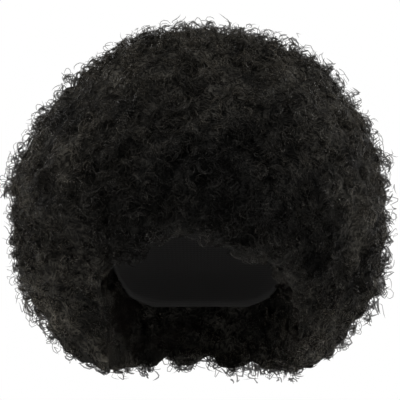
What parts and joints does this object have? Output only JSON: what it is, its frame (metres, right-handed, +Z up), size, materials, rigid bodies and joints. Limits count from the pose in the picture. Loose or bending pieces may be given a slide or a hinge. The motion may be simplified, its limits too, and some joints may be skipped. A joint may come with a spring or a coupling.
{
  "type": "afro wig",
  "caption": "Round wig of tight upright curls on a stretch cap, with an open face and a ragged fringe over the forehead.",
  "frame": {"origin": "inside top of the cap, where it sits on the crown of the head", "axes": "+Z up, the face opening looks along -Y, +X to the wearer's left"},
  "size_m": [0.32, 0.3303, 0.2895],
  "materials": {
    "hair": "slightly glossy black synthetic fibre in tight curls",
    "cap": "matt black stretch knit"
  },
  "bodies": {
    "root": {"wig_cap": "cap", "crown_hair": "hair", "fringe_hair": "hair", "side_hair_left": "hair", "side_hair_right": "hair", "back_hair": "hair"}
  },
  "joints": []
}
